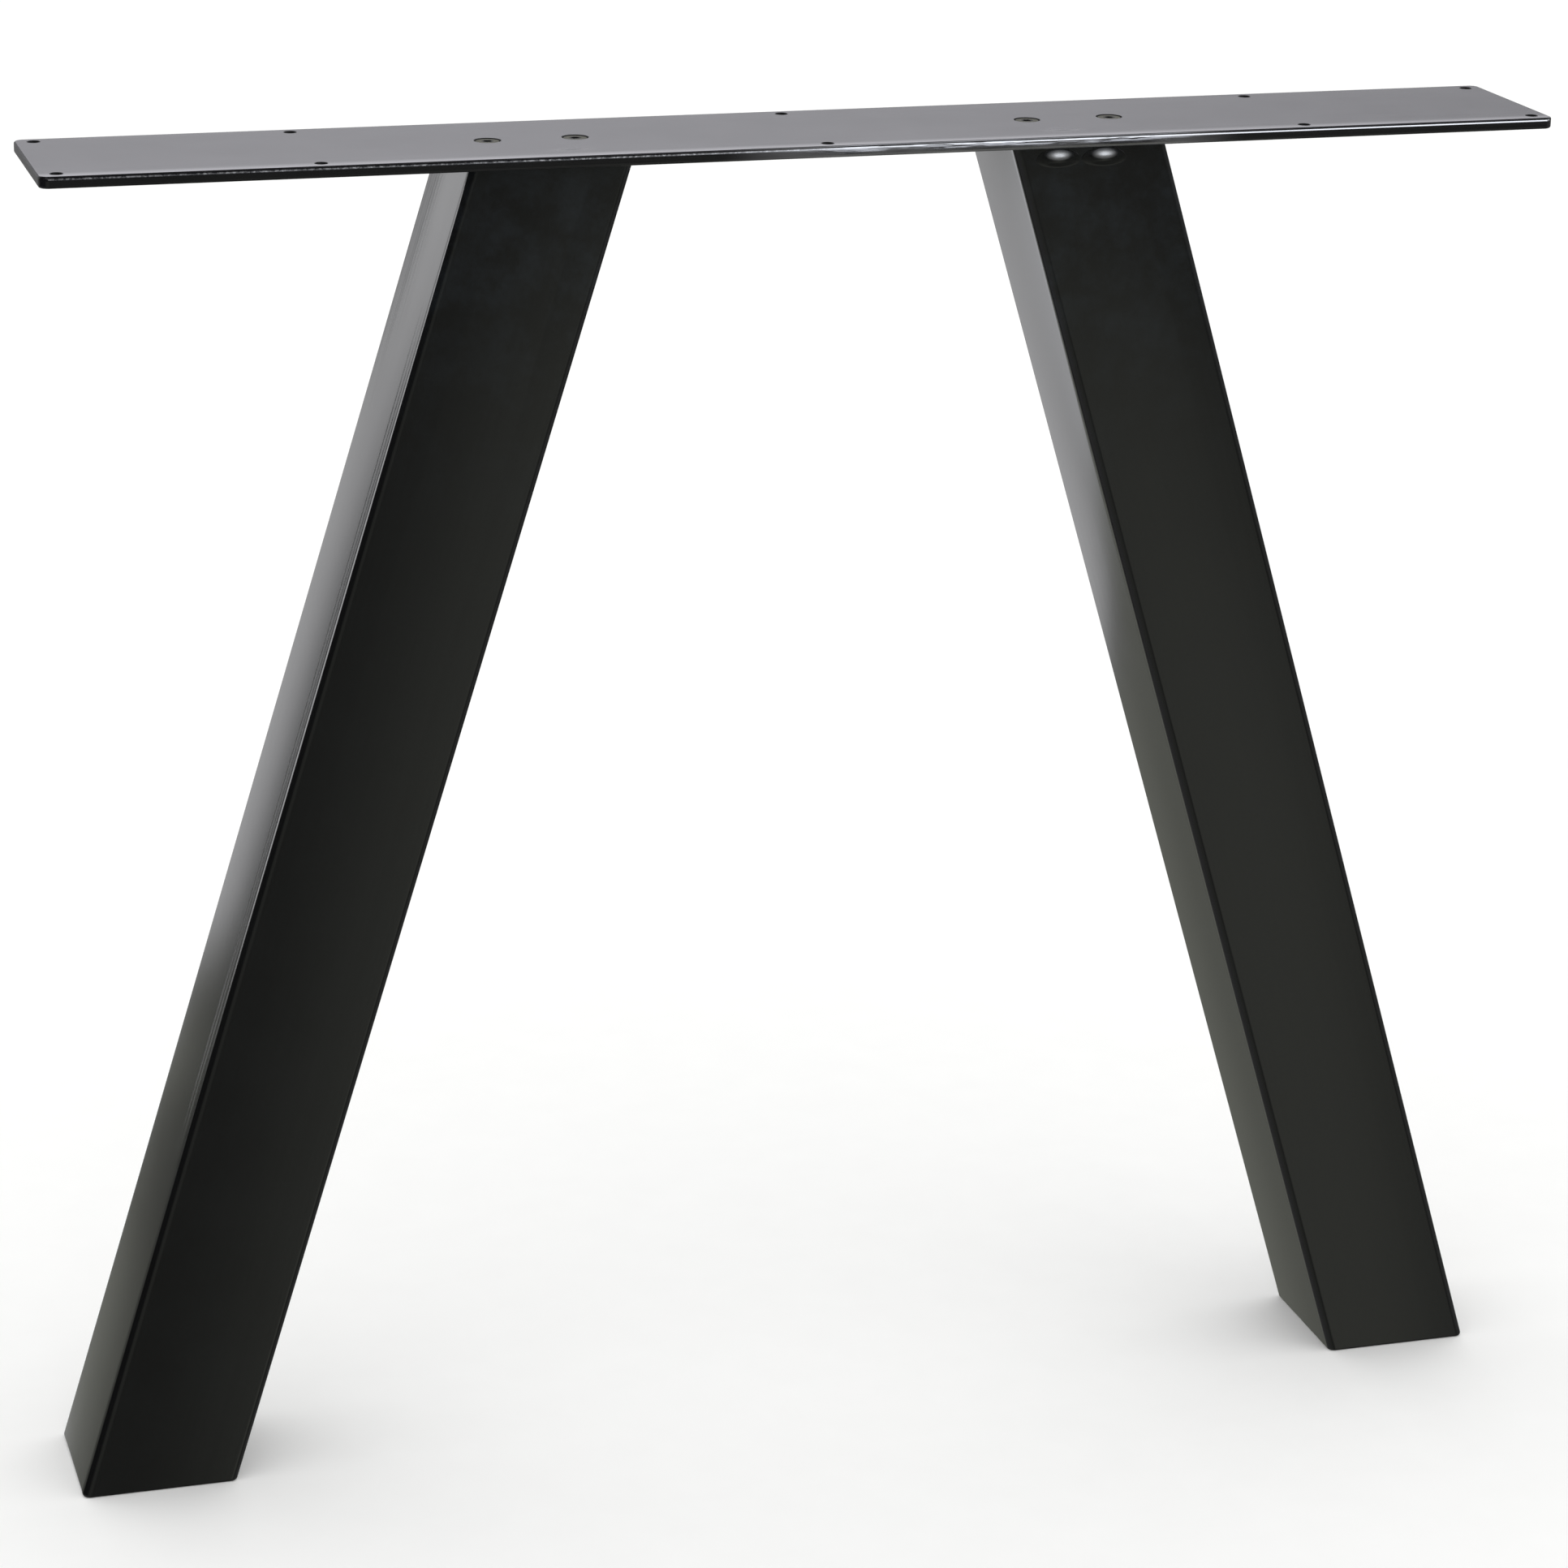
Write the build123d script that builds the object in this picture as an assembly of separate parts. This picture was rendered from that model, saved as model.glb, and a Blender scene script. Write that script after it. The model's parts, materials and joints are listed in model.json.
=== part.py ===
from build123d import *
import math
import os

# Steel table frame: a flat screw plate carried by two square tube legs that splay outwards.
# Units are millimetres and degrees. +X runs along the plate, +Z up.
# The origin is on the floor, under the middle of the frame.

# Overall sizes
frame_height = 716.0
foot_span = 803.0
leg_splay = 17.0

# Screw plate
plate_length = 800.0
plate_width = 100.0
plate_thickness = 6.0
plate_corner_radius = 5.0
plate_edge_radius = 1.2

# Screw holes for the table top: two rows with five columns, none over the legs
screw_hole_diameter = 6.5
screw_hole_deburr = 0.3
screw_end_margin = 9.5
screw_side_margin = 8.0
screw_column_pitch = 130.0

# Square tube legs
tube_size = 80.0
tube_wall = 2.0
tube_corner_radius = 4.0

# Plates welded over the tube ends and ground flush
head_plate_thickness = 6.0
foot_plate_thickness = 5.0
foot_edge_radius = 1.5

# Countersunk bolts with a hexagon socket, two in each leg
bolt_diameter = 6.0
bolt_length = 12.0
bolt_head_diameter = 12.0
bolt_head_rim = 0.4
bolt_head_angle = 90.0
bolt_end_distance = 19.0
bolt_head_sink = 0.35
socket_width = 4.0
socket_depth = 2.6

# Clearances
bolt_hole_clearance = 0.3
thread_clearance = 0.1
head_seat_clearance = 0.1

# Derived places of the legs
splay_slope = math.tan(math.radians(leg_splay))
plate_underside = frame_height - plate_thickness
head_plate_underside = plate_underside - head_plate_thickness
end_plate_length = tube_size / math.cos(math.radians(leg_splay))
leg_foot_x = foot_span / 2 - end_plate_length / 2


def leg_axis_x(height):
    """Distance of the leg's centre line from the middle of the frame, at a height above the floor."""
    return leg_foot_x - height * splay_slope


# Derived places of the holes and bolts
outer_screw_x = plate_length / 2 - screw_end_margin
inner_screw_x = outer_screw_x - screw_column_pitch
screw_row_y = plate_width / 2 - screw_side_margin
screw_columns = (-outer_screw_x, -inner_screw_x, 0.0, inner_screw_x, outer_screw_x)
bolt_middle_x = leg_axis_x(head_plate_underside)
bolt_half_spacing = end_plate_length / 2 - bolt_end_distance
bolt_head_slope = math.tan(math.radians(bolt_head_angle / 2))
bolt_top = frame_height - bolt_head_sink


def leg_prism(side, width, corner_radius, low, high):
    """Rounded square bar along one leg's slope, cut off level at two heights."""
    slope_x = side * math.sin(math.radians(leg_splay))
    slope_z = -math.cos(math.radians(leg_splay))
    along = Plane(
        origin=(side * leg_axis_x((low + high) / 2), 0, (low + high) / 2),
        x_dir=(-slope_z, 0, slope_x),
        z_dir=(slope_x, 0, slope_z),
    )
    reach = (high - low + 2 * width) / math.cos(math.radians(leg_splay))
    bar = extrude(along * RectangleRounded(width, width, corner_radius), amount=reach, both=True)
    slab_size = 4 * (foot_span + frame_height)
    slab = Pos(0, 0, (low + high) / 2) * Box(slab_size, slab_size, high - low)
    return bar & slab


def leg_tube(side):
    """Square tube between the foot plate and the head plate, cut level at both ends."""
    low = foot_plate_thickness
    high = head_plate_underside
    outside = leg_prism(side, tube_size, tube_corner_radius, low, high)
    bore_size = tube_size - 2 * tube_wall
    bore_corner_radius = max(tube_corner_radius - tube_wall, tube_wall / 4)
    bore = leg_prism(side, bore_size, bore_corner_radius, low, high)
    return outside - bore


def foot_plate(side):
    """Closes the tube at the floor, its lower rim rounded over."""
    plate = leg_prism(side, tube_size, tube_corner_radius, 0.0, foot_plate_thickness)
    rim = plate.edges().group_by(Axis.Z)[0]
    return fillet(rim, min(foot_edge_radius, foot_plate_thickness / 2))


def bolt_places(side):
    """Inner and outer bolt of one leg, as distances along the plate."""
    middle = side * bolt_middle_x
    return (middle - side * bolt_half_spacing, middle + side * bolt_half_spacing)


def head_plate(side):
    """Closes the tube under the screw plate and takes the bolts in tapped holes."""
    plate = leg_prism(side, tube_size, tube_corner_radius, head_plate_underside, plate_underside)
    tapped_radius = bolt_diameter / 2 + thread_clearance
    for x in bolt_places(side):
        drill = Cylinder(tapped_radius, 3 * head_plate_thickness)
        plate -= Pos(x, 0, plate_underside) * drill
    return plate


def screw_hole():
    """Through hole with a deburred upper rim, its mouth at height zero."""
    radius = screw_hole_diameter / 2
    outline = Polyline(
        (0, screw_hole_deburr),
        (radius + 2 * screw_hole_deburr, screw_hole_deburr),
        (radius, -screw_hole_deburr),
        (radius, -2 * plate_thickness),
        (0, -2 * plate_thickness),
        close=True,
    )
    return revolve(Plane.XZ * make_face(outline), Axis.Z)


def countersink():
    """Cone for a bolt head over a clearance hole, with its mouth at height zero."""
    hole_radius = bolt_diameter / 2 + bolt_hole_clearance
    seat_drop = bolt_head_sink + bolt_head_rim + head_seat_clearance
    mouth_radius = bolt_head_diameter / 2 + seat_drop * bolt_head_slope
    cone_depth = (mouth_radius - hole_radius) / bolt_head_slope
    outline = Polyline(
        (0, plate_thickness),
        (mouth_radius + plate_thickness * bolt_head_slope, plate_thickness),
        (hole_radius, -cone_depth),
        (hole_radius, -2 * plate_thickness),
        (0, -2 * plate_thickness),
        close=True,
    )
    return revolve(Plane.XZ * make_face(outline), Axis.Z)


def top_plate():
    """Flat bar with rounded corners and eased edges, drilled for screws and countersunk for bolts."""
    outline = RectangleRounded(plate_length, plate_width, plate_corner_radius)
    plate = Pos(0, 0, plate_underside) * extrude(outline, amount=plate_thickness)
    rims = plate.edges().group_by(Axis.Z)[0] + plate.edges().group_by(Axis.Z)[-1]
    plate = fillet(rims, min(plate_edge_radius, plate_thickness / 3))
    for x in screw_columns:
        for y in (-screw_row_y, screw_row_y):
            plate -= Pos(x, y, frame_height) * screw_hole()
    for side in (-1, 1):
        for x in bolt_places(side):
            plate -= Pos(x, 0, frame_height) * countersink()
    return plate


def bolt():
    """Countersunk bolt with a hexagon socket, its head's top at height zero."""
    head_radius = bolt_head_diameter / 2
    shank_radius = bolt_diameter / 2
    cone_depth = (head_radius - shank_radius) / bolt_head_slope
    outline = Polyline(
        (0, 0),
        (head_radius, 0),
        (head_radius, -bolt_head_rim),
        (shank_radius, -bolt_head_rim - cone_depth),
        (shank_radius, -bolt_length),
        (0, -bolt_length),
        close=True,
    )
    body = revolve(Plane.XZ * make_face(outline), Axis.Z)
    corner_radius = socket_width / math.sqrt(3)
    hexagon = RegularPolygon(corner_radius, 6)
    socket = Pos(0, 0, -socket_depth) * extrude(hexagon, amount=2 * socket_depth)
    return body - socket


def write(node, solid):
    """Save one piece under its own name."""
    export_step(solid, os.path.join("parts", node + ".step"))


os.makedirs("parts", exist_ok=True)
write("top_plate", top_plate())
for side, hand in ((-1, "left"), (1, "right")):
    write(hand + "_leg_tube", leg_tube(side))
    write(hand + "_head_plate", head_plate(side))
    write(hand + "_foot_plate", foot_plate(side))
    for x, place in zip(bolt_places(side), ("inner", "outer")):
        write(hand + "_" + place + "_bolt", Pos(x, 0, bolt_top) * bolt())
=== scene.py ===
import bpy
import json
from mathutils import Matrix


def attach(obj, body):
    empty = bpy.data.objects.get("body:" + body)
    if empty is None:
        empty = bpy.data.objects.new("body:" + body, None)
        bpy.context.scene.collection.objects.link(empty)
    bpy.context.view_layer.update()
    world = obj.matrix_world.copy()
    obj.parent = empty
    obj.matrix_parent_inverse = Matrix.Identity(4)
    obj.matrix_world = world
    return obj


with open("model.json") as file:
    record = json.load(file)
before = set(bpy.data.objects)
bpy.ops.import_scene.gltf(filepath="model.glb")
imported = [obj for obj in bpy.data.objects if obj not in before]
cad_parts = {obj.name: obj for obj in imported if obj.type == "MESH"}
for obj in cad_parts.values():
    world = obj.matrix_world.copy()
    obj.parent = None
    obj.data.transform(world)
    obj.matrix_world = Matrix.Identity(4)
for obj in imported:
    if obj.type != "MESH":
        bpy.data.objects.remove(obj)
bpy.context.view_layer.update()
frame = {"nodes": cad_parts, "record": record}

import json
import math

import bpy
import numpy as np
from mathutils import Matrix

# Steel table frame in satin black lacquer. Lengths are in metres unless a name says mm.
MM = 0.001

# Sizes taken over from the frame's solids
FRAME_HEIGHT = 716 * MM
PLATE_WIDTH = 100 * MM
TUBE_SIZE = 80 * MM
TUBE_CORNER_RADIUS = 4 * MM
LEG_SPLAY = math.radians(17)
LEG_FOOT_X = 359.67 * MM
BOLT_MIDDLE_X = 144.44 * MM
BOLT_HALF_SPACING = 22.83 * MM
BOLT_TOP = FRAME_HEIGHT - 0.35 * MM

# The two weld beads on the right leg, under the plate's front edge
BEAD_X = (125.5 * MM, 150.5 * MM)
BEAD_HEIGHT = FRAME_HEIGHT - 14.1 * MM
BEAD_HALF_LENGTH = 12.3 * MM
BEAD_HALF_HEIGHT = 6.5 * MM
BEAD_PROUD = 1.1 * MM

# Swell of the tube's faces in the material's relief: inner and outer side, the same near the head, the front,
# and the turn into the rounded front corners
SIDE_SWELL = (0.95 * MM, 0.85 * MM)
SIDE_SWELL_AT_HEAD = (0.45 * MM, 0.1 * MM)
FRONT_SWELL = 0.6 * MM
CORNER_TURN = 1.4 * MM

# Relief of the plate: its crown, the roll-over of its front edge and the upturn of its back edge, with the
# width of the margin that each takes
PLATE_CROWN = 0.35 * MM
PLATE_ROLL_OVER = 0.455 * MM
ROLLED_MARGIN = 10 * MM
PLATE_UPTURN = 0.12 * MM
UPTURNED_MARGIN = 9 * MM

# Wear of the plate: the smear over each leg's weld, the stretch of the cut edge that is ground, and how far
# the cut edge leans back under its arris
SMEAR_PLACE = (131 * MM, -32 * MM, 0)
SMEAR_HALF_SIZE = (15 * MM, 4.5 * MM)
GROUND_RISES = (-60 * MM, 20 * MM)
GROUND_FADES = (165 * MM, 225 * MM)
LEANING_HEIGHT = 2.4 * MM
LEAN = 0.9 * MM

# How far the floor reaches from the frame, and the even light on all matt surfaces
FLOOR_REACH = 15.0
EVEN_LIGHT = 1.15

# The mirrored room's darkest grey, and its slanting coordinates, each as a slope and a shift in degrees: the
# wall's foot left and right of the frame, the span of headings where they meet, and the floor's lit strip
ROOM_SHADE = 0.015
LEFT_WALL_FOOT = (0.3, 5.9)
RIGHT_WALL_FOOT = (-0.2, 11.4)
WALL_FEET_MEET = (-12.5, -10)
STRIP_DROP = (-0.05, -2.7)

# Camera solved from the photograph: place, three turns and focal length in pixels of the square frame
FRAME_PIXELS = 1932
FOCAL_PIXELS = 5600.04
CAMERA_PLACE = (-671.987 * MM, -2230.839 * MM, 1148.334 * MM)
CAMERA_PITCH = 0.326914
CAMERA_HEADING = -0.290633
CAMERA_ROLL = 0.0167428
SENSOR_WIDTH_MM = 36.0

# What the lacquer mirrors: tint, brightness, then spans in degrees, each as a coordinate with the values
# between which the patch rises and those between which it falls again. Heading is 0 behind the frame and 90
# on its right, height is above the horizon.
ROOM_PATCHES = (
    # The wall behind the frame, neutral low down and faintly violet higher up, and the ceiling over it
    ("#fdfdff", 0.93,
     (("heading", -29, -16, 50, 60), ("height", -90, -90, 1, 6), ("wall_foot", -12.4, -11.6, 99, 99))),
    ("#fdfdff", 0.30, (("heading", -29, -20, -13, -8), ("height", -7.5, -2, 1, 6))),
    ("#fdfdff", 0.70, (("heading", -50, -44, -25, -18), ("height", -4, 0, 10, 14))),
    ("#f9f8ff", 0.70, (("heading", -40, -30, 12, 55), ("height", 1, 6, 40, 50))),
    ("#f9f8ff", 1.60, (("heading", -40, -30, 60, 90), ("height", 11, 22, 40, 52))),
    # Its foot, then the floor: left of the frame in bands, right of it even
    ("#fcfff0", 0.16, (("heading", -44, -16, -12.5, -10), ("wall_foot", -99, -99, -12.2, -11.6))),
    ("#fcfff0", 0.14, (("heading", -50, -20, -12.5, -10), ("wall_foot", -14.1, -13.7, -13.4, -12.9))),
    ("#fcfff0", 0.12, (("heading", -50, -46, -12.5, -10), ("wall_foot", -99, -99, -16.8, -15.4))),
    ("#fcfff0", 0.06, (("heading", -50, -46, -12.5, -10), ("height", -90, -90, -17.4, -15.0))),
    ("#fcfff0", 0.28, (("heading", -12.5, -10, 60, 90), ("wall_foot", -99, -99, -12.9, -11.9))),
    # The lit strips at the left, which the rounded corners of the tubes catch
    ("#fdfdff", 3.20,
     (("heading", -64, -58, -36, -30), ("height", -20, -16, 10, 14), ("wall_foot", -13.2, -11.9, 99, 99))),
    ("#fcfff0", 0.35, (("heading", -64, -58, -44, -38), ("wall_foot", -99, -99, -13.2, -11.9))),
    ("#f6f6ff", 1.08,
     (("heading", -39, -34, -12.5, -10), ("height", -90, -90, -21, -19.5), ("drop", -28.1, -26.1, 99, 99))),
    ("#f6f6ff", 0.86,
     (("heading", -39, -34, -20, -13), ("height", -90, -90, -22, -20.5), ("drop", -28.1, -26.1, 99, 99))),
    ("#fcfff0", 0.42,
     (("heading", -50, -45, -27, -20), ("height", -90, -90, -26, -24), ("drop", -99, -99, -28.1, -26.1))),
    # The room on the viewer's side, and the lamp in it
    ("#ffffff", 0.27, (("heading", -165, -140, -60, -42), ("height", -90, -90, -22, -18.5))),
    ("#ffffff", 0.06, (("heading", -150, -130, -50, -40), ("height", -90, -90, -16, -12))),
    ("#fcfff0", 0.45, (("heading", 144, 157, 160, 174), ("height", -45, -32, -16, -11.5))),
    ("#fcfff0", 0.12, (("heading", 110, 130, 180, 180), ("height", -90, -90, -4, 0))),
    ("#fcfff0", 0.26, (("heading", -180, -180, -160, -140), ("height", -90, -90, -4, 0))),
    ("#ffffff", 0.25, (("heading", 60, 75, 125, 140), ("height", -90, -90, 30, 40))),
    ("#f4f8ff", 2.40, (("heading", 125, 135, 164, 175), ("height", 5, 10, 34, 44))),
)


def linear(colour):
    """An sRGB hex colour such as '#1a1a1b' as linear red, green, blue and alpha."""
    parts = [int(colour[i:i + 2], 16) / 255 for i in (1, 3, 5)]
    return (*[p / 12.92 if p <= 0.04045 else ((p + 0.055) / 1.055) ** 2.4 for p in parts], 1.0)


def add(tree, kind, sockets=None, **settings):
    """Adds a node, sets its properties, then gives each named or numbered socket a value, or a link from a
    socket or from the first output of a node."""
    node = tree.nodes.new(kind)
    for name, value in settings.items():
        setattr(node, name, value)
    for socket, value in (sockets or {}).items():
        if isinstance(value, bpy.types.Node):
            value = value.outputs[0]
        if isinstance(value, bpy.types.NodeSocket):
            tree.links.new(value, node.inputs[socket])
        else:
            node.inputs[socket].default_value = value
    return node


def new_material(name):
    """An empty node material and its tree."""
    material = bpy.data.materials.new(name)
    material.use_nodes = True
    material.node_tree.nodes.clear()
    return material, material.node_tree


def from_nearest_bolt(tree, split):
    """Distance from the axis of the nearest of the four bolts, for the separated coordinates of a place."""
    from_middle = add(tree, "ShaderNodeMath", {0: split.outputs["X"]}, operation="ABSOLUTE")
    from_leg = add(tree, "ShaderNodeMath", {0: from_middle, 1: BOLT_MIDDLE_X}, operation="SUBTRACT")
    either_way = add(tree, "ShaderNodeMath", {0: from_leg}, operation="ABSOLUTE")
    off_axis = add(tree, "ShaderNodeMath", {0: either_way, 1: BOLT_HALF_SPACING}, operation="SUBTRACT")
    apart = add(tree, "ShaderNodeCombineXYZ", {"X": off_axis, "Y": split.outputs["Y"]})
    return add(tree, "ShaderNodeVectorMath", {0: apart}, operation="LENGTH").outputs["Value"]


def leg_lacquer():
    """Satin black lacquer sprayed on mill-finished square tube: near-black seen square on, and a blurred
    mirror of the room at a grazing angle, streaked along the leg where the tube was drawn and wiped. The
    slight swell of the faces makes the mirrored room fade from the back corner to the front one."""
    material, tree = new_material("satin_lacquer_on_square_tube")
    place = add(tree, "ShaderNodeTexCoord").outputs["Object"]
    split = add(tree, "ShaderNodeSeparateXYZ", {0: place})
    mirrored_x = add(tree, "ShaderNodeMath", {0: split.outputs["X"]}, operation="ABSOLUTE")
    folded = add(tree, "ShaderNodeCombineXYZ",
                 {"X": mirrored_x, "Y": split.outputs["Y"], "Z": split.outputs["Z"]})
    from_foot = add(tree, "ShaderNodeVectorMath", {0: folded, 1: (LEG_FOOT_X, 0, 0)}, operation="SUBTRACT")
    # The leg's own frame: X across, outwards, Y front to back, Z up along the tube
    own = add(tree, "ShaderNodeVectorRotate", {"Vector": from_foot, "Angle": LEG_SPLAY},
              rotation_type="Y_AXIS")
    split_own = add(tree, "ShaderNodeSeparateXYZ", {0: own})
    across, depth, along = split_own.outputs["X"], split_own.outputs["Y"], split_own.outputs["Z"]
    outer = add(tree, "ShaderNodeMapRange", {"Value": across, "From Min": -20 * MM, "From Max": 20 * MM})
    near_top = add(tree, "ShaderNodeMapRange", {"Value": along, "From Min": 520 * MM, "From Max": 720 * MM},
                   interpolation_type="SMOOTHSTEP")

    # Cloudy thickness of the lacquer coat, patches of about 45 mm
    clouds = add(tree, "ShaderNodeTexNoise",
                 {"Vector": place, "Scale": 1 / (45 * MM), "Detail": 4.0, "Roughness": 0.6})
    # Draw lines of the tube: 2.5 mm apart and 150 mm long, drawn coarser than real ones so that they show
    stretched = add(tree, "ShaderNodeMapping",
                    {"Vector": own, "Scale": (1 / (2.5 * MM), 1 / (2.5 * MM), 1 / (150 * MM))})
    lines = add(tree, "ShaderNodeTexNoise",
                {"Vector": stretched, "Scale": 1.0, "Detail": 3.0, "Roughness": 0.55})
    # Grain of the spray, real 0.1 mm, drawn at 0.9 mm so that it shows
    grain = add(tree, "ShaderNodeTexNoise",
                {"Vector": place, "Scale": 1 / (0.9 * MM), "Detail": 2.0, "Roughness": 0.5})

    tint = add(tree, "ShaderNodeMix", {"Factor": clouds, "A": linear("#090909"), "B": linear("#0e0f10")},
               data_type="RGBA")
    # Bluish bloom of overspray in clouds of 40 mm, on the uppermost part of the legs
    bloom_clouds = add(tree, "ShaderNodeTexNoise",
                       {"Vector": place, "Scale": 1 / (40 * MM), "Detail": 8.0, "Roughness": 0.8})
    bloom = add(tree, "ShaderNodeMapRange",
                {"Value": bloom_clouds, "From Min": 0.45, "From Max": 0.75, "To Min": 0.0,
                 "To Max": near_top})
    bloomed = add(tree, "ShaderNodeMix", {"Factor": bloom, "A": tint.outputs[2], "B": linear("#1a1e22")},
                  data_type="RGBA")

    gloss = add(tree, "ShaderNodeMapRange",
                {"Value": clouds, "From Min": 0.3, "From Max": 0.7, "To Min": 0.11, "To Max": 0.14})
    streaked = add(tree, "ShaderNodeMath", {0: lines, 1: 0.05, 2: gloss}, operation="MULTIPLY_ADD")
    # Two dull scores 5.2 mm apart along the outer side, beside the front corner, fading towards the head and
    # the foot
    from_pair = add(tree, "ShaderNodeMath", {0: depth, 1: -26.8 * MM}, operation="SUBTRACT")
    off_middle = add(tree, "ShaderNodeMath", {0: from_pair}, operation="ABSOLUTE")
    off_line = add(tree, "ShaderNodeMath", {0: off_middle, 1: 2.6 * MM}, operation="SUBTRACT")
    off_score = add(tree, "ShaderNodeMath", {0: off_line}, operation="ABSOLUTE")
    scores = add(tree, "ShaderNodeMapRange",
                 {"Value": off_score, "From Min": 0.3 * MM, "From Max": 1.9 * MM, "To Min": outer,
                  "To Max": 0.0},
                 interpolation_type="SMOOTHSTEP")
    below_head = add(tree, "ShaderNodeMapRange",
                     {"Value": along, "From Min": 660 * MM, "From Max": 600 * MM})
    above_foot = add(tree, "ShaderNodeMapRange",
                     {"Value": along, "From Min": 180 * MM, "From Max": 290 * MM})
    ends = add(tree, "ShaderNodeMath", {0: below_head, 1: above_foot}, operation="MULTIPLY")
    scored = add(tree, "ShaderNodeMath", {0: scores, 1: ends}, operation="MULTIPLY")
    dulled = add(tree, "ShaderNodeMath", {0: scored, 1: 0.45, 2: streaked}, operation="MULTIPLY_ADD")
    # Wiped, duller patch high on the outer side, towards the back
    back_half = add(tree, "ShaderNodeMapRange",
                    {"Value": depth, "From Min": -10 * MM, "From Max": 30 * MM, "To Min": 0.0,
                     "To Max": near_top},
                    interpolation_type="SMOOTHSTEP")
    wiped_outer = add(tree, "ShaderNodeMath", {0: back_half, 1: outer}, operation="MULTIPLY")
    wiped = add(tree, "ShaderNodeMath", {0: wiped_outer, 1: lines}, operation="MULTIPLY")
    rough = add(tree, "ShaderNodeMath", {0: wiped, 1: 0.45, 2: dulled}, operation="MULTIPLY_ADD")

    # Faces swell between the corners, as roll-formed tube does, and less towards the head
    swell = add(tree, "ShaderNodeMapRange",
                {"Value": outer, "To Min": SIDE_SWELL[0], "To Max": SIDE_SWELL[1]})
    least_swell = add(tree, "ShaderNodeMapRange",
                      {"Value": outer, "To Min": SIDE_SWELL_AT_HEAD[0], "To Max": SIDE_SWELL_AT_HEAD[1]})
    held = add(tree, "ShaderNodeMapRange", {"Value": near_top, "To Min": swell, "To Max": least_swell})
    half_flat = TUBE_SIZE / 2 - TUBE_CORNER_RADIUS
    depth_share = add(tree, "ShaderNodeMath", {0: depth, 1: half_flat}, operation="DIVIDE")
    depth_squared = add(tree, "ShaderNodeMath", {0: depth_share, 1: depth_share}, operation="MULTIPLY")
    side_swell = add(tree, "ShaderNodeMath", {0: depth_squared, 1: held}, operation="MULTIPLY")
    across_share = add(tree, "ShaderNodeMath", {0: across, 1: half_flat}, operation="DIVIDE")
    across_squared = add(tree, "ShaderNodeMath", {0: across_share, 1: across_share}, operation="MULTIPLY")
    swells = add(tree, "ShaderNodeMath", {0: across_squared, 1: FRONT_SWELL, 2: side_swell},
                 operation="MULTIPLY_ADD")
    # They start to turn 3.5 mm before the rounded front corners
    past = add(tree, "ShaderNodeMapRange", {"Value": depth, "From Min": -32.5 * MM, "From Max": -41 * MM})
    turning = add(tree, "ShaderNodeMath", {0: past, 1: past}, operation="MULTIPLY")
    turned = add(tree, "ShaderNodeMath", {0: turning, 1: CORNER_TURN, 2: swells}, operation="MULTIPLY_ADD")
    grainy = add(tree, "ShaderNodeMath", {0: grain, 1: -0.004 * MM, 2: turned}, operation="MULTIPLY_ADD")
    scratched = add(tree, "ShaderNodeMath", {0: scored, 1: 0.03 * MM, 2: grainy}, operation="MULTIPLY_ADD")
    hollows = add(tree, "ShaderNodeMath", {0: lines, 1: -0.012 * MM, 2: scratched}, operation="MULTIPLY_ADD")
    relief = add(tree, "ShaderNodeMath", {0: hollows, 1: -1.0}, operation="MULTIPLY")
    bump = add(tree, "ShaderNodeBump", {"Height": relief, "Distance": 1.0, "Strength": 1.0})

    shader = add(tree, "ShaderNodeBsdfPrincipled",
                 {"Base Color": bloomed.outputs[2], "Roughness": rough, "Normal": bump, "IOR": 1.5,
                  "Metallic": 0.0})
    add(tree, "ShaderNodeOutputMaterial", {"Surface": shader})
    return material


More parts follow.
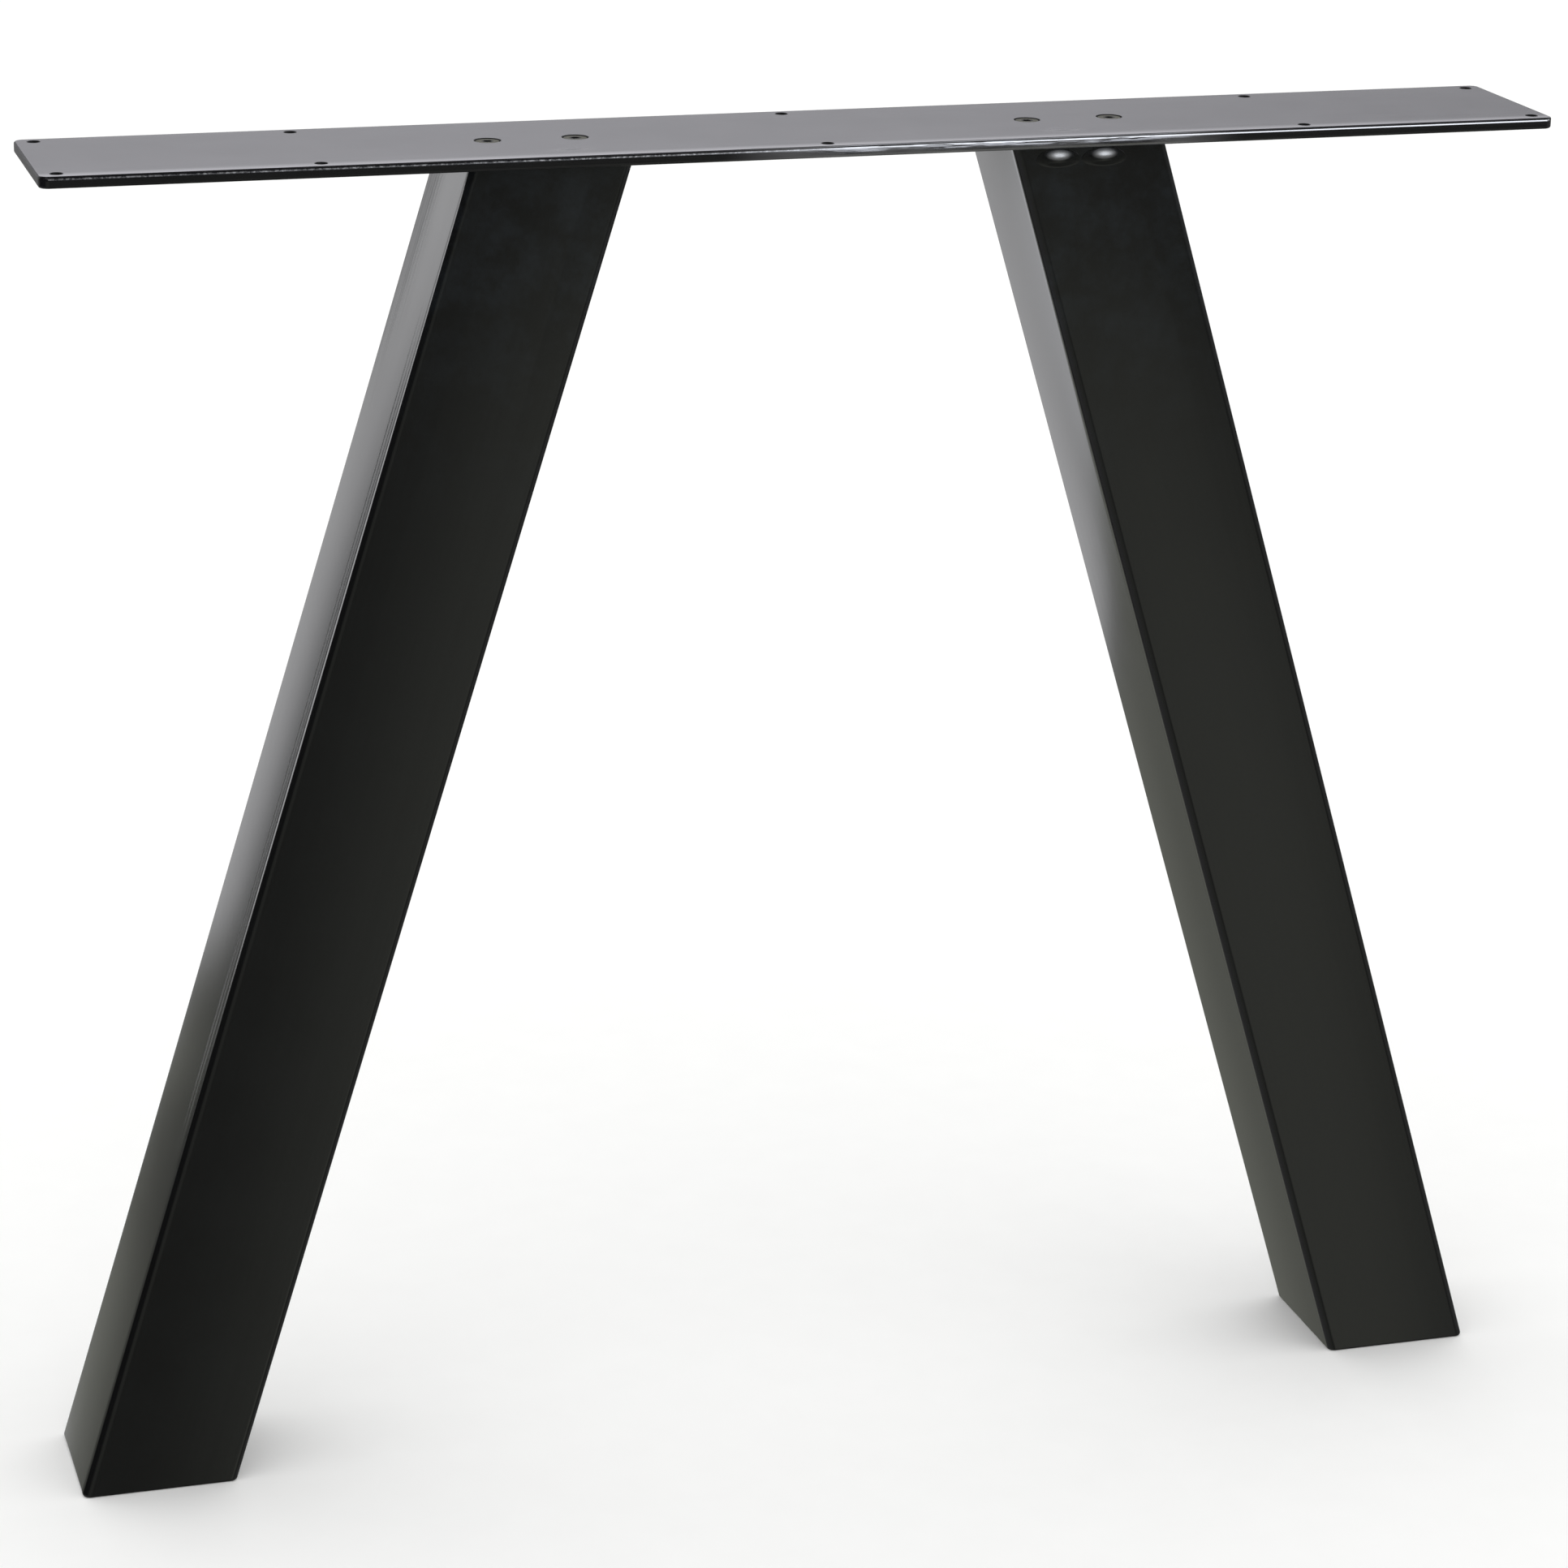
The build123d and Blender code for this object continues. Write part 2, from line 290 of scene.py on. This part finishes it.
def weld_with_painted_highlight():
    """Black lacquer on the weld beads, with a painted highlight on the upper shoulder of each bead: a soft
    pale metallic spot that fades into the lacquer around it."""
    material, tree = new_material("weld_with_painted_highlight")
    place = add(tree, "ShaderNodeTexCoord").outputs["Object"]
    split = add(tree, "ShaderNodeSeparateXYZ", {0: place})
    # Ripples of the weld, 2 mm apart
    ripple = add(tree, "ShaderNodeTexNoise",
                 {"Vector": place, "Scale": 1 / (2 * MM), "Detail": 3.0, "Roughness": 0.6})
    # The painted highlights: 15 x 5.6 mm, 2.5 mm above the middle of each bead
    between = add(tree, "ShaderNodeMath", {0: split.outputs["X"], 1: sum(BEAD_X) / 2}, operation="SUBTRACT")
    either_way = add(tree, "ShaderNodeMath", {0: between}, operation="ABSOLUTE")
    off_bead = add(tree, "ShaderNodeMath", {0: either_way, 1: (BEAD_X[1] - BEAD_X[0]) / 2},
                   operation="SUBTRACT")
    above_bead = add(tree, "ShaderNodeMath", {0: split.outputs["Z"], 1: BEAD_HEIGHT + 2.5 * MM},
                     operation="SUBTRACT")
    apart = add(tree, "ShaderNodeCombineXYZ", {"X": off_bead, "Z": above_bead})
    scaled = add(tree, "ShaderNodeVectorMath", {0: apart, 1: (1 / (7.5 * MM), 0, 1 / (2.8 * MM))},
                 operation="MULTIPLY")
    reach = add(tree, "ShaderNodeVectorMath", {0: scaled}, operation="LENGTH").outputs["Value"]
    painted_highlight = add(tree, "ShaderNodeMapRange",
                 {"Value": reach, "From Min": 0.1, "From Max": 1.0, "To Min": 0.8, "To Max": 0.0},
                 interpolation_type="SMOOTHSTEP")
    # Pale and metallic where the highlight is painted
    tint = add(tree, "ShaderNodeMix", {"Factor": painted_highlight, "A": linear("#0b0c0c"), "B": linear("#b2b2b2")},
               data_type="RGBA")
    rough = add(tree, "ShaderNodeMapRange",
                {"Value": ripple, "From Min": 0.3, "From Max": 0.7, "To Min": 0.16, "To Max": 0.24})
    bump = add(tree, "ShaderNodeBump", {"Height": ripple, "Distance": 0.01 * MM, "Strength": 1.0})
    shader = add(tree, "ShaderNodeBsdfPrincipled",
                 {"Base Color": tint.outputs[2], "Roughness": rough, "Normal": bump, "Metallic": painted_highlight,
                  "IOR": 1.5})
    add(tree, "ShaderNodeOutputMaterial", {"Surface": shader})
    return material


def plate_lacquer():
    """Satin black lacquer on flat steel bar: the broad top mirrors the room as an even mid-grey with a paler
    margin where the sheared edge rolls over. The thin cut edges stay near-black, with a pale metallic line
    along the front arris, partly worn steel and partly painted highlight, and a greyer, streaky metallic
    stretch over the right leg, where it was ground, which is partly painted reflection."""
    material, tree = new_material("satin_lacquer_on_flat_bar")
    place = add(tree, "ShaderNodeTexCoord").outputs["Object"]
    split = add(tree, "ShaderNodeSeparateXYZ", {0: place})
    along, depth, up = split.outputs["X"], split.outputs["Y"], split.outputs["Z"]
    half_width = PLATE_WIDTH / 2
    # Thickness of the coat, patches of about 30 mm
    clouds = add(tree, "ShaderNodeTexNoise",
                 {"Vector": place, "Scale": 1 / (30 * MM), "Detail": 5.0, "Roughness": 0.6})
    # Rolling marks along the bar, 5 mm apart and 120 mm long
    stretched = add(tree, "ShaderNodeMapping",
                    {"Vector": place, "Scale": (1 / (120 * MM), 1 / (5 * MM), 1 / (1 * MM))})
    lines = add(tree, "ShaderNodeTexNoise",
                {"Vector": stretched, "Scale": 1.0, "Detail": 4.0, "Roughness": 0.6})
    # Grain of the spray, real 0.1 mm, drawn at 1 mm so that it shows
    grain = add(tree, "ShaderNodeTexNoise",
                {"Vector": place, "Scale": 1 / (1.0 * MM), "Detail": 2.0, "Roughness": 0.5})

    tint = add(tree, "ShaderNodeMix", {"Factor": clouds, "A": linear("#0b0b0c"), "B": linear("#101013")},
               data_type="RGBA")
    gloss = add(tree, "ShaderNodeMapRange",
                {"Value": clouds, "From Min": 0.3, "From Max": 0.7, "To Min": 0.11, "To Max": 0.14})
    glossy = add(tree, "ShaderNodeMath", {0: lines, 1: 0.08, 2: gloss}, operation="MULTIPLY_ADD")
    # The holes and countersinks stay dull
    below = add(tree, "ShaderNodeMapRange",
                {"Value": up, "From Min": FRAME_HEIGHT - 0.2 * MM, "From Max": FRAME_HEIGHT - 0.02 * MM,
                 "To Min": 0.4, "To Max": 0.0})
    off_edge = add(tree, "ShaderNodeMath", {0: depth}, operation="ABSOLUTE")
    in_hole = add(tree, "ShaderNodeMapRange",
                  {"Value": off_edge, "From Min": half_width - 3 * MM, "From Max": half_width - 2 * MM,
                   "To Min": below, "To Max": 0.0})
    dull_holes = add(tree, "ShaderNodeMath", {0: glossy, 1: in_hole}, operation="ADD")
    # So does a ring 1 mm wide around each countersink, worn by the driver
    ring = add(tree, "ShaderNodeMapRange",
               {"Value": from_nearest_bolt(tree, split), "From Min": 6.9 * MM, "From Max": 7.5 * MM,
                "To Min": 0.5, "To Max": 0.0})
    dull_rings = add(tree, "ShaderNodeMath", {0: dull_holes, 1: ring}, operation="ADD")
    # So do smears of 30 x 9 mm over the legs' welds, near the front edge
    weld_side = add(tree, "ShaderNodeMath", {0: along}, operation="ABSOLUTE")
    weld_place = add(tree, "ShaderNodeCombineXYZ", {"X": weld_side, "Y": depth})
    weld_apart = add(tree, "ShaderNodeVectorMath", {0: weld_place, 1: SMEAR_PLACE},
                     operation="SUBTRACT")
    weld_scaled = add(tree, "ShaderNodeVectorMath",
                      {0: weld_apart, 1: (1 / SMEAR_HALF_SIZE[0], 1 / SMEAR_HALF_SIZE[1], 0)},
                      operation="MULTIPLY")
    weld_reach = add(tree, "ShaderNodeVectorMath", {0: weld_scaled}, operation="LENGTH").outputs["Value"]
    smear = add(tree, "ShaderNodeMapRange",
                {"Value": weld_reach, "From Min": 0.0, "From Max": 1.0, "To Min": 0.25, "To Max": 0.0},
                interpolation_type="SMOOTHSTEP")
    rough = add(tree, "ShaderNodeMath", {0: dull_rings, 1: smear}, operation="ADD")

    # The top is crowned, and rolls over before the front edge
    depth_share = add(tree, "ShaderNodeMath", {0: depth, 1: half_width}, operation="DIVIDE")
    crown = add(tree, "ShaderNodeMath", {0: depth_share, 1: depth_share}, operation="MULTIPLY")
    margin = add(tree, "ShaderNodeMapRange",
                 {"Value": depth, "From Min": ROLLED_MARGIN - half_width, "From Max": -half_width})
    rolled = add(tree, "ShaderNodeMath", {0: margin, 1: margin}, operation="MULTIPLY")
    dropped = add(tree, "ShaderNodeMath", {0: rolled, 1: PLATE_ROLL_OVER / PLATE_CROWN, 2: crown},
                  operation="MULTIPLY_ADD")
    grainy = add(tree, "ShaderNodeMath", {0: grain, 1: -0.013 * MM}, operation="MULTIPLY")
    hollows = add(tree, "ShaderNodeMath", {0: dropped, 1: PLATE_CROWN, 2: grainy}, operation="MULTIPLY_ADD")
    # The back edge is turned up a little
    back_margin = add(tree, "ShaderNodeMapRange",
                      {"Value": depth, "From Min": half_width - UPTURNED_MARGIN, "From Max": half_width})
    upturn = add(tree, "ShaderNodeMath", {0: back_margin, 1: back_margin}, operation="MULTIPLY")
    upturned = add(tree, "ShaderNodeMath", {0: upturn, 1: -PLATE_UPTURN, 2: hollows},
                   operation="MULTIPLY_ADD")
    marked = add(tree, "ShaderNodeMath", {0: lines, 1: -0.03 * MM, 2: upturned}, operation="MULTIPLY_ADD")

    # The cut edge over the right leg is ground round, unevenly, in facets of about 45 x 4 mm
    ground_from = add(tree, "ShaderNodeMapRange",
                      {"Value": along, "From Min": GROUND_RISES[0], "From Max": GROUND_RISES[1]},
                      interpolation_type="SMOOTHSTEP")
    ground_to = add(tree, "ShaderNodeMapRange",
                    {"Value": along, "From Min": GROUND_FADES[0], "From Max": GROUND_FADES[1],
                     "To Min": ground_from, "To Max": 0.0},
                    interpolation_type="SMOOTHSTEP")
    facet_place = add(tree, "ShaderNodeMapping",
                      {"Vector": place, "Scale": (1 / (45 * MM), 1 / (9 * MM), 1 / (4 * MM))})
    facets = add(tree, "ShaderNodeTexNoise",
                 {"Vector": facet_place, "Scale": 1.0, "Detail": 3.0, "Roughness": 0.55})
    uneven = add(tree, "ShaderNodeMapRange",
                 {"Value": facets, "From Min": 0.25, "From Max": 0.6, "To Min": 0.25, "To Max": 1.0})
    ground = add(tree, "ShaderNodeMath", {0: ground_to, 1: uneven}, operation="MULTIPLY")
    from_middle = add(tree, "ShaderNodeMath", {0: up, 1: FRAME_HEIGHT - 5.5 * MM}, operation="SUBTRACT")
    squared = add(tree, "ShaderNodeMath", {0: from_middle, 1: from_middle}, operation="MULTIPLY")
    rounding = add(tree, "ShaderNodeMath", {0: squared, 1: ground}, operation="MULTIPLY")
    on_edge = add(tree, "ShaderNodeMapRange",
                  {"Value": depth, "From Min": -half_width + 0.3 * MM, "From Max": -half_width + 1.2 * MM,
                   "To Min": rounding, "To Max": 0.0})
    worn = add(tree, "ShaderNodeMath", {0: on_edge, 1: 0.034 / MM, 2: marked}, operation="MULTIPLY_ADD")
    # Where it isn't ground, the cut edge leans back under its arris
    lip = add(tree, "ShaderNodeMapRange",
              {"Value": up, "From Min": FRAME_HEIGHT - LEANING_HEIGHT, "From Max": FRAME_HEIGHT})
    leaning = add(tree, "ShaderNodeMath", {0: lip, 1: lip}, operation="MULTIPLY")
    unground = add(tree, "ShaderNodeMapRange", {"Value": ground, "To Min": leaning, "To Max": 0.0})
    on_front_face = add(tree, "ShaderNodeMapRange",
                        {"Value": depth, "From Min": -half_width + 0.3 * MM,
                         "From Max": -half_width + 0.8 * MM, "To Min": unground, "To Max": 0.0})
    leant = add(tree, "ShaderNodeMath", {0: on_front_face, 1: LEAN, 2: worn}, operation="MULTIPLY_ADD")
    relief = add(tree, "ShaderNodeMath", {0: leant, 1: -1.0}, operation="MULTIPLY")
    bump = add(tree, "ShaderNodeBump", {"Height": relief, "Distance": 1.0, "Strength": 1.0})

    # Pale metallic steel along the front arris, partly wear and partly painted highlight, in dots of 2 mm at
    # the left and unbroken at the right
    on_front = add(tree, "ShaderNodeMapRange",
                   {"Value": depth, "From Min": -half_width + 0.9 * MM, "From Max": -half_width + 0.6 * MM})
    under_top = add(tree, "ShaderNodeMapRange",
                    {"Value": up, "From Min": FRAME_HEIGHT - 0.8 * MM, "From Max": FRAME_HEIGHT - 1.1 * MM,
                     "To Min": 0.0, "To Max": on_front})
    arris = add(tree, "ShaderNodeMapRange",
                {"Value": up, "From Min": FRAME_HEIGHT - 1.9 * MM, "From Max": FRAME_HEIGHT - 1.6 * MM,
                 "To Min": 0.0, "To Max": under_top})
    dots = add(tree, "ShaderNodeTexNoise",
               {"Vector": place, "Scale": 1 / (2 * MM), "Detail": 3.0, "Roughness": 0.7})
    broken = add(tree, "ShaderNodeMapRange",
                 {"Value": dots, "From Min": 0.42, "From Max": 0.62, "To Min": 0.0, "To Max": 0.6})
    unbroken = add(tree, "ShaderNodeMapRange",
                   {"Value": along, "From Min": -120 * MM, "From Max": 60 * MM, "To Min": broken,
                    "To Max": 0.97},
                   interpolation_type="SMOOTHSTEP")
    arris_wear_and_highlight = add(tree, "ShaderNodeMath", {0: arris, 1: unbroken}, operation="MULTIPLY")
    # And where the cut edge is ground: the metallic steel there is partly painted reflection
    ground_cut_and_reflection = add(tree, "ShaderNodeMapRange",
                 {"Value": depth, "From Min": -half_width + 0.9 * MM, "From Max": -half_width + 0.3 * MM,
                  "To Min": 0.0, "To Max": ground})
    bare_steel_and_highlight = add(tree, "ShaderNodeMath", {0: arris_wear_and_highlight, 1: ground_cut_and_reflection}, operation="MAXIMUM")
    # The steel is paler still on the arris, where the highlight is painted
    steel_and_highlight_tint = add(tree, "ShaderNodeMix", {"Factor": arris_wear_and_highlight, "A": linear("#848486"), "B": linear("#bebec0")},
                data_type="RGBA")
    skin = add(tree, "ShaderNodeMix", {"Factor": bare_steel_and_highlight, "A": tint.outputs[2], "B": steel_and_highlight_tint.outputs[2]},
               data_type="RGBA")
    shader = add(tree, "ShaderNodeBsdfPrincipled",
                 {"Base Color": skin.outputs[2], "Roughness": rough, "Normal": bump, "IOR": 1.5,
                  "Metallic": bare_steel_and_highlight})
    add(tree, "ShaderNodeOutputMaterial", {"Surface": shader})
    return material


def bolt_zinc():
    """Zinc-plated steel of the countersunk bolts: a dull pale grey head with a mottled skin. The socket, the
    middle of the head and all below its top face are near-black: painted shade, partly leftover lacquer."""
    material, tree = new_material("zinc_plated_bolt_steel")
    place = add(tree, "ShaderNodeTexCoord").outputs["Object"]
    split = add(tree, "ShaderNodeSeparateXYZ", {0: place})
    mottle = add(tree, "ShaderNodeTexNoise",
                 {"Vector": place, "Scale": 1 / (1.2 * MM), "Detail": 3.0, "Roughness": 0.6})
    skin = add(tree, "ShaderNodeMix", {"Factor": mottle, "A": linear("#4e4e4b"), "B": linear("#6c6c68")},
               data_type="RGBA")
    # The head's top face; below it the zinc is painted near-black as shade
    on_head = add(tree, "ShaderNodeMapRange",
                  {"Value": split.outputs["Z"], "From Min": BOLT_TOP - 0.2 * MM,
                   "From Max": BOLT_TOP - 0.05 * MM})
    # Near-black within about 3 mm of each bolt's middle and below the head's top face: painted shade in the
    # socket and on the sunk rim, partly leftover lacquer
    unshaded_clean_zinc = add(tree, "ShaderNodeMapRange",
                {"Value": from_nearest_bolt(tree, split), "From Min": 2.8 * MM, "From Max": 3.5 * MM,
                 "To Min": 0.0, "To Max": on_head})
    tint = add(tree, "ShaderNodeMix", {"Factor": unshaded_clean_zinc, "A": linear("#0a0a0a"), "B": skin.outputs[2]},
               data_type="RGBA")
    bare_rough = add(tree, "ShaderNodeMapRange",
                     {"Value": mottle, "From Min": 0.3, "From Max": 0.7, "To Min": 0.34, "To Max": 0.46})
    rough = add(tree, "ShaderNodeMapRange", {"Value": unshaded_clean_zinc, "To Min": 0.7, "To Max": bare_rough})
    bump = add(tree, "ShaderNodeBump", {"Height": mottle, "Distance": 0.02 * MM, "Strength": 1.0})
    shader = add(tree, "ShaderNodeBsdfPrincipled",
                 {"Base Color": tint.outputs[2], "Roughness": rough, "Normal": bump, "Metallic": unshaded_clean_zinc,
                  "Specular Tint": linear("#bfbfb8")})
    add(tree, "ShaderNodeOutputMaterial", {"Surface": shader})
    return material


def surface(name, points, faces, material, smooth=True):
    """A mesh object at the origin from an N x 3 array of points and arrays of faces, one for each number of
    corners."""
    mesh = bpy.data.meshes.new(name)
    mesh.from_pydata(points, [], [face for group in faces for face in group.tolist()])
    mesh.polygons.foreach_set("use_smooth", np.full(len(mesh.polygons), smooth))
    mesh.materials.append(material)
    mesh.update()
    piece = bpy.data.objects.new(name, mesh)
    bpy.context.scene.collection.objects.link(piece)
    return piece


def weld_bead(name, centre, half_length, half_height, proud, material):
    """A short stretch of weld left proud of the leg's front face. On a grid of radius r from 0 to 1 and angle
    a, x = half_length r cos a, z = half_height r sin a, and it stands proud by (1 - r squared) squared. Below
    its crest z is 0.6 times that. The back is the same grid, flat and sunk into the steel."""
    rings, spokes, sink = 28, 84, 0.6 * MM
    r = np.linspace(0, 1, rings + 1)[1:, None]
    a = np.linspace(0, 2 * math.pi, spokes, endpoint=False)[None, :]
    x = centre[0] + half_length * r * np.cos(a)
    z = centre[2] + half_height * r * np.sin(a) * np.where(np.sin(a) < 0, 0.6, 1.0)
    front_y = centre[1] - proud * (1 - r ** 2) ** 2 + 0 * a
    back_y = np.full_like(front_y, centre[1] + sink)
    front = np.stack([x, front_y, z], axis=-1).reshape(-1, 3)
    back = np.stack([x, back_y, z], axis=-1).reshape(-1, 3)
    tips = np.array([[centre[0], centre[1] - proud, centre[2]], [centre[0], centre[1] + sink, centre[2]]])
    i = np.arange(rings - 1)[:, None] * spokes
    j = np.arange(spokes)[None, :]
    k = (j + 1) % spokes
    rows = np.stack([i + j, i + spokes + j, i + spokes + k, i + k], axis=-1).reshape(-1, 4)
    behind = rings * spokes
    rim = (rings - 1) * spokes
    side = np.stack([rim + j[0], behind + rim + j[0], behind + rim + k[0], rim + k[0]], axis=-1)
    front_tip = np.stack([np.full(spokes, 2 * behind), j[0], k[0]], axis=-1)
    back_tip = np.stack([np.full(spokes, 2 * behind + 1), behind + k[0], behind + j[0]], axis=-1)
    quads = np.concatenate([rows, rows[:, ::-1] + behind, side])
    piece = surface(name, np.concatenate([front, back, tips]), [quads, np.concatenate([front_tip, back_tip])],
                    material)
    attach(piece, "root")


def photo_camera():
    """The camera at the photograph's place, turn and focal length."""
    pitch, heading, roll = CAMERA_PITCH, CAMERA_HEADING, CAMERA_ROLL
    turn_x = np.array([[1, 0, 0], [0, math.cos(pitch), -math.sin(pitch)],
                       [0, math.sin(pitch), math.cos(pitch)]])
    turn_y = np.array([[math.cos(heading), 0, math.sin(heading)], [0, 1, 0],
                       [-math.sin(heading), 0, math.cos(heading)]])
    turn_z = np.array([[math.cos(roll), -math.sin(roll), 0], [math.sin(roll), math.cos(roll), 0], [0, 0, 1]])
    looking_along_y = np.array([[1, 0, 0], [0, 0, -1], [0, 1, 0]])
    rows = turn_z @ turn_x @ turn_y @ looking_along_y
    data = bpy.data.cameras.new("photo_camera")
    data.sensor_width = SENSOR_WIDTH_MM
    data.lens = FOCAL_PIXELS / FRAME_PIXELS * SENSOR_WIDTH_MM
    # Half a pixel, because the photograph was measured between the middles of its pixels
    data.shift_x = -0.5 / FRAME_PIXELS
    data.shift_y = 0.5 / FRAME_PIXELS
    data.clip_end = 100.0
    camera = bpy.data.objects.new("photo_camera", data)
    bpy.context.scene.collection.objects.link(camera)
    place = Matrix.Identity(4)
    for row in range(3):
        place[row][0] = rows[0][row]
        place[row][1] = -rows[1][row]
        place[row][2] = -rows[2][row]
        place[row][3] = CAMERA_PLACE[row]
    camera.matrix_world = place
    bpy.context.scene.camera = camera


def paper_floor():
    """Pale matt paper floor. The lacquer mirrors the room's lower half in its place."""
    material, tree = new_material("matt_studio_paper")
    place = add(tree, "ShaderNodeTexCoord").outputs["Object"]
    fibre = add(tree, "ShaderNodeTexNoise", {"Vector": place, "Scale": 30.0, "Detail": 2.0})
    tint = add(tree, "ShaderNodeMix", {"Factor": fibre, "A": linear("#f4f4f3"), "B": linear("#f7f7f6")},
               data_type="RGBA")
    shader = add(tree, "ShaderNodeBsdfDiffuse", {"Color": tint.outputs[2]})
    add(tree, "ShaderNodeOutputMaterial", {"Surface": shader.outputs["BSDF"]})
    corners = FLOOR_REACH * np.array([[-1, -1, 0], [1, -1, 0], [1, 1, 0], [-1, 1, 0]])
    floor = surface("floor", corners, [np.array([[0, 1, 2, 3]])], material, smooth=False)
    floor.visible_glossy = False


def studio_room():
    """The room's soft light. The floor and all matt surfaces get an even pale light. The lacquer mirrors soft
    patches of that room: each is its tint and brightness times the product of smooth steps in heading, height
    and two slanting coordinates."""
    world = bpy.data.worlds.new("studio_room")
    world.use_nodes = True
    tree = world.node_tree
    tree.nodes.clear()
    split = add(tree, "ShaderNodeSeparateXYZ", {0: add(tree, "ShaderNodeTexCoord").outputs["Generated"]})
    heading = add(tree, "ShaderNodeMath", {0: split.outputs["X"], 1: split.outputs["Y"]},
                  operation="ARCTAN2")
    height = add(tree, "ShaderNodeMath", {0: split.outputs["Z"]}, operation="ARCSINE")
    # The wall's foot lies higher on the left of the frame than on its right, and slants in both parts
    left_rise, right_rise, fall = [
        add(tree, "ShaderNodeMath", {0: heading, 1: slope, 2: math.radians(shift)}, operation="MULTIPLY_ADD")
        for slope, shift in (LEFT_WALL_FOOT, RIGHT_WALL_FOOT, STRIP_DROP)]
    rise = add(tree, "ShaderNodeMapRange",
               {"Value": heading, "From Min": math.radians(WALL_FEET_MEET[0]),
                "From Max": math.radians(WALL_FEET_MEET[1]), "To Min": left_rise, "To Max": right_rise},
               interpolation_type="SMOOTHSTEP")
    wall_foot = add(tree, "ShaderNodeMath", {0: height, 1: rise}, operation="ADD")
    drop = add(tree, "ShaderNodeMath", {0: height, 1: fall}, operation="ADD")
    coordinates = {"heading": heading, "height": height, "wall_foot": wall_foot, "drop": drop}

    total = add(tree, "ShaderNodeRGB")
    total.outputs[0].default_value = (ROOM_SHADE, ROOM_SHADE, ROOM_SHADE, 1)
    for tint, brightness, spans in ROOM_PATCHES:
        shape = add(tree, "ShaderNodeValue")
        shape.outputs[0].default_value = brightness
        for name, *stops in spans:
            low, full, fading, high = np.radians(stops).tolist()
            for outside, inside in ((low, full), (high, fading)):
                if outside != inside:
                    shape = add(tree, "ShaderNodeMapRange",
                                {"Value": coordinates[name], "From Min": outside, "From Max": inside,
                                 "To Min": 0.0, "To Max": shape}, interpolation_type="SMOOTHSTEP")
        patch = add(tree, "ShaderNodeVectorMath", {0: linear(tint)[:3], "Scale": shape}, operation="SCALE")
        total = add(tree, "ShaderNodeVectorMath", {0: total, 1: patch}, operation="ADD")
    mirrored = add(tree, "ShaderNodeBackground", {"Color": total, "Strength": 1.0})
    even = add(tree, "ShaderNodeBackground", {"Color": linear("#ffffff"), "Strength": EVEN_LIGHT})
    ray = add(tree, "ShaderNodeLightPath")
    both = add(tree, "ShaderNodeMixShader", {0: ray.outputs["Is Glossy Ray"], 1: even, 2: mirrored})
    add(tree, "ShaderNodeOutputWorld", {"Surface": both})
    bpy.context.scene.world = world


finishes = {"plate_lacquer": plate_lacquer(), "leg_lacquer": leg_lacquer(), "bolt_steel": bolt_zinc()}
for subpart in frame["record"]["subparts"]:
    node = frame["nodes"][subpart["node"]]
    for slot in node.material_slots:
        slot.material = finishes[subpart["material_slot"]]

# The beads' finish carries a painted highlight
bead_finish = weld_with_painted_highlight()
for name, bead_x in zip(("weld_bead_near", "weld_bead_far"), BEAD_X):
    weld_bead(name, (bead_x, -TUBE_SIZE / 2, BEAD_HEIGHT), BEAD_HALF_LENGTH, BEAD_HALF_HEIGHT, BEAD_PROUD,
              bead_finish)

paper_floor()
studio_room()
photo_camera()
bpy.context.scene.view_settings.view_transform = "Standard"
